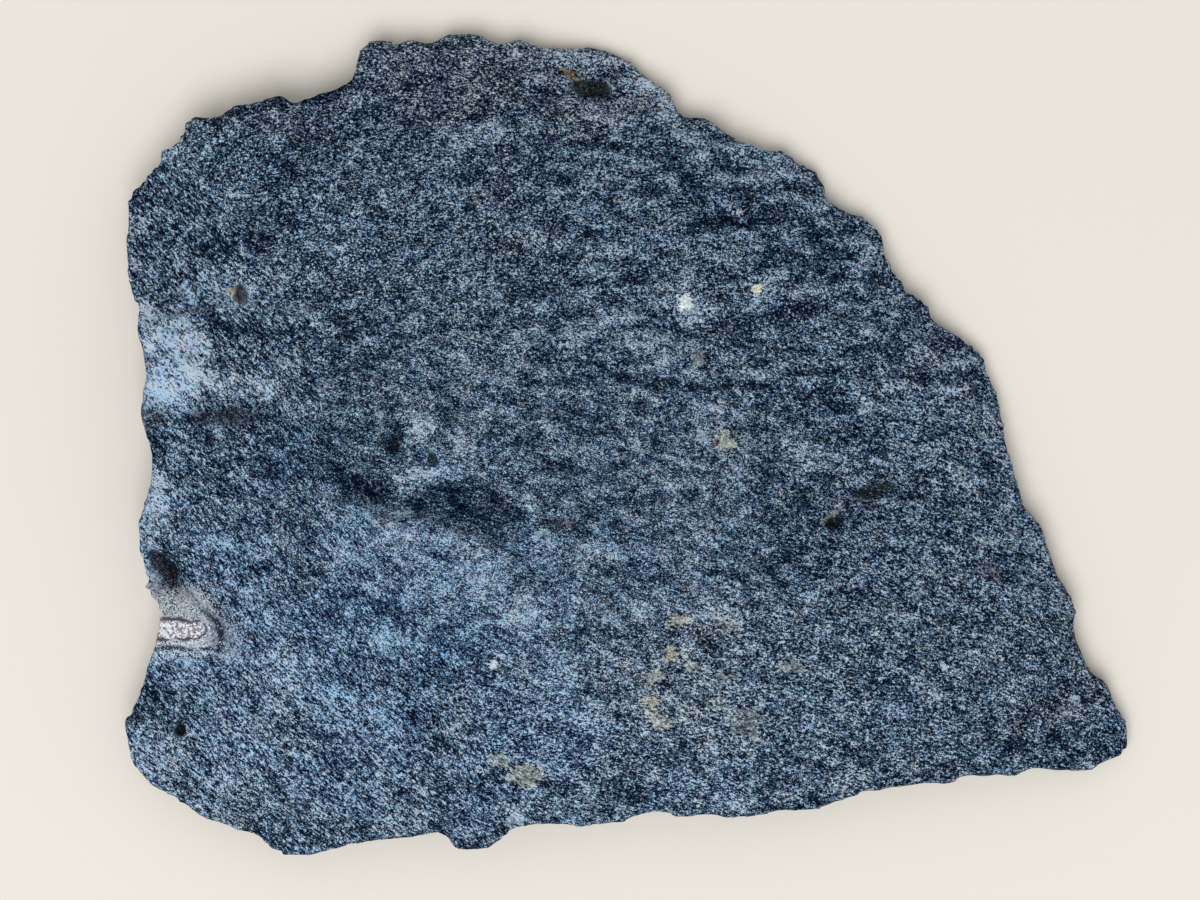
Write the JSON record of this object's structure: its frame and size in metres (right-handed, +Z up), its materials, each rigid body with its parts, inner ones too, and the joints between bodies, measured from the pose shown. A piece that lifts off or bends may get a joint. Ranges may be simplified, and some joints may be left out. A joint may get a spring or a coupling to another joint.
{
  "type": "basalt slab",
  "caption": "Flat broken slab of dark, fine-grained basalt with a ragged edge, lying on its flatter side.",
  "frame": {"origin": "middle of the slab's length and width, on the surface that it lies on", "axes": "+X along the slab's longest side, towards its narrow tip; +Y towards its broad broken end; +Z up, out of the fracture face"},
  "size_m": [0.1012, 0.083, 0.0118],
  "materials": {
    "basalt": "rough, freshly broken"
  },
  "bodies": {
    "root": {"basalt_slab": "basalt"}
  },
  "joints": []
}
